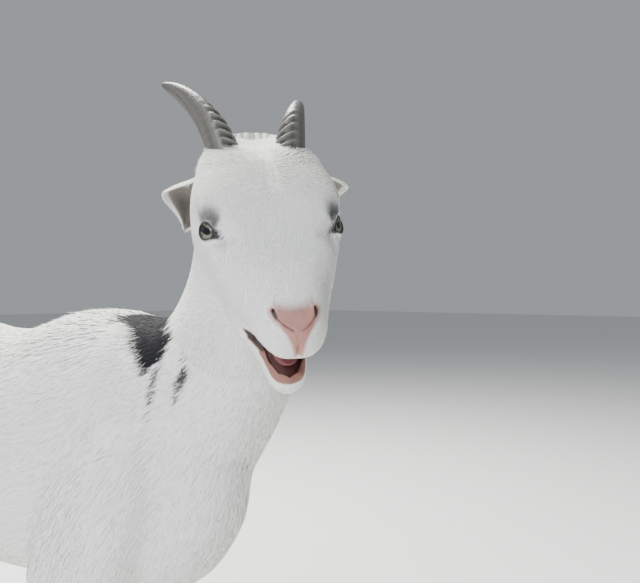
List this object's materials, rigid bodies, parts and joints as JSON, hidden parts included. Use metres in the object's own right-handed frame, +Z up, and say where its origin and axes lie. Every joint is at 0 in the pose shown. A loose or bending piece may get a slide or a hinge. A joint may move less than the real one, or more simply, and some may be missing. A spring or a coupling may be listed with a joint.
{
  "type": "standing young goat, still life-size model",
  "caption": "Young white dwarf goat, life size, standing square, head up and turned to its right, mouth open as it chews, short ridged horns.",
  "frame": {"origin": "on the floor, under the middle of the goat's bounding box", "axes": "-Y is the way the body faces, +X its left side, +Z up"},
  "size_m": [0.223, 0.8096, 0.6953],
  "materials": {
    "coat": "short white hair, shaggy on the back, black patch before the withers",
    "tongue": "moist, pink",
    "horn": "grey ridged horn, half gloss",
    "hoof": "grey-brown hoof horn, worn",
    "eye": "wet gloss, pale iris, level slot pupil"
  },
  "bodies": {
    "root": {"ear_left": "coat", "ear_right": "coat", "eye_left": "eye", "eye_right": "eye", "head": "coat", "hoof_front_left_inner": "hoof", "hoof_front_left_outer": "hoof", "hoof_front_right_inner": "hoof", "hoof_front_right_outer": "hoof", "hoof_hind_left_inner": "hoof", "hoof_hind_left_outer": "hoof", "hoof_hind_right_inner": "hoof", "hoof_hind_right_outer": "hoof", "horn_left": "horn", "horn_right": "horn", "jaw": "coat", "leg_front_left": "coat", "leg_front_right": "coat", "leg_hind_left": "coat", "leg_hind_right": "coat", "neck": "coat", "tail": "coat", "tongue": "tongue", "trunk": "coat"}
  },
  "joints": []
}
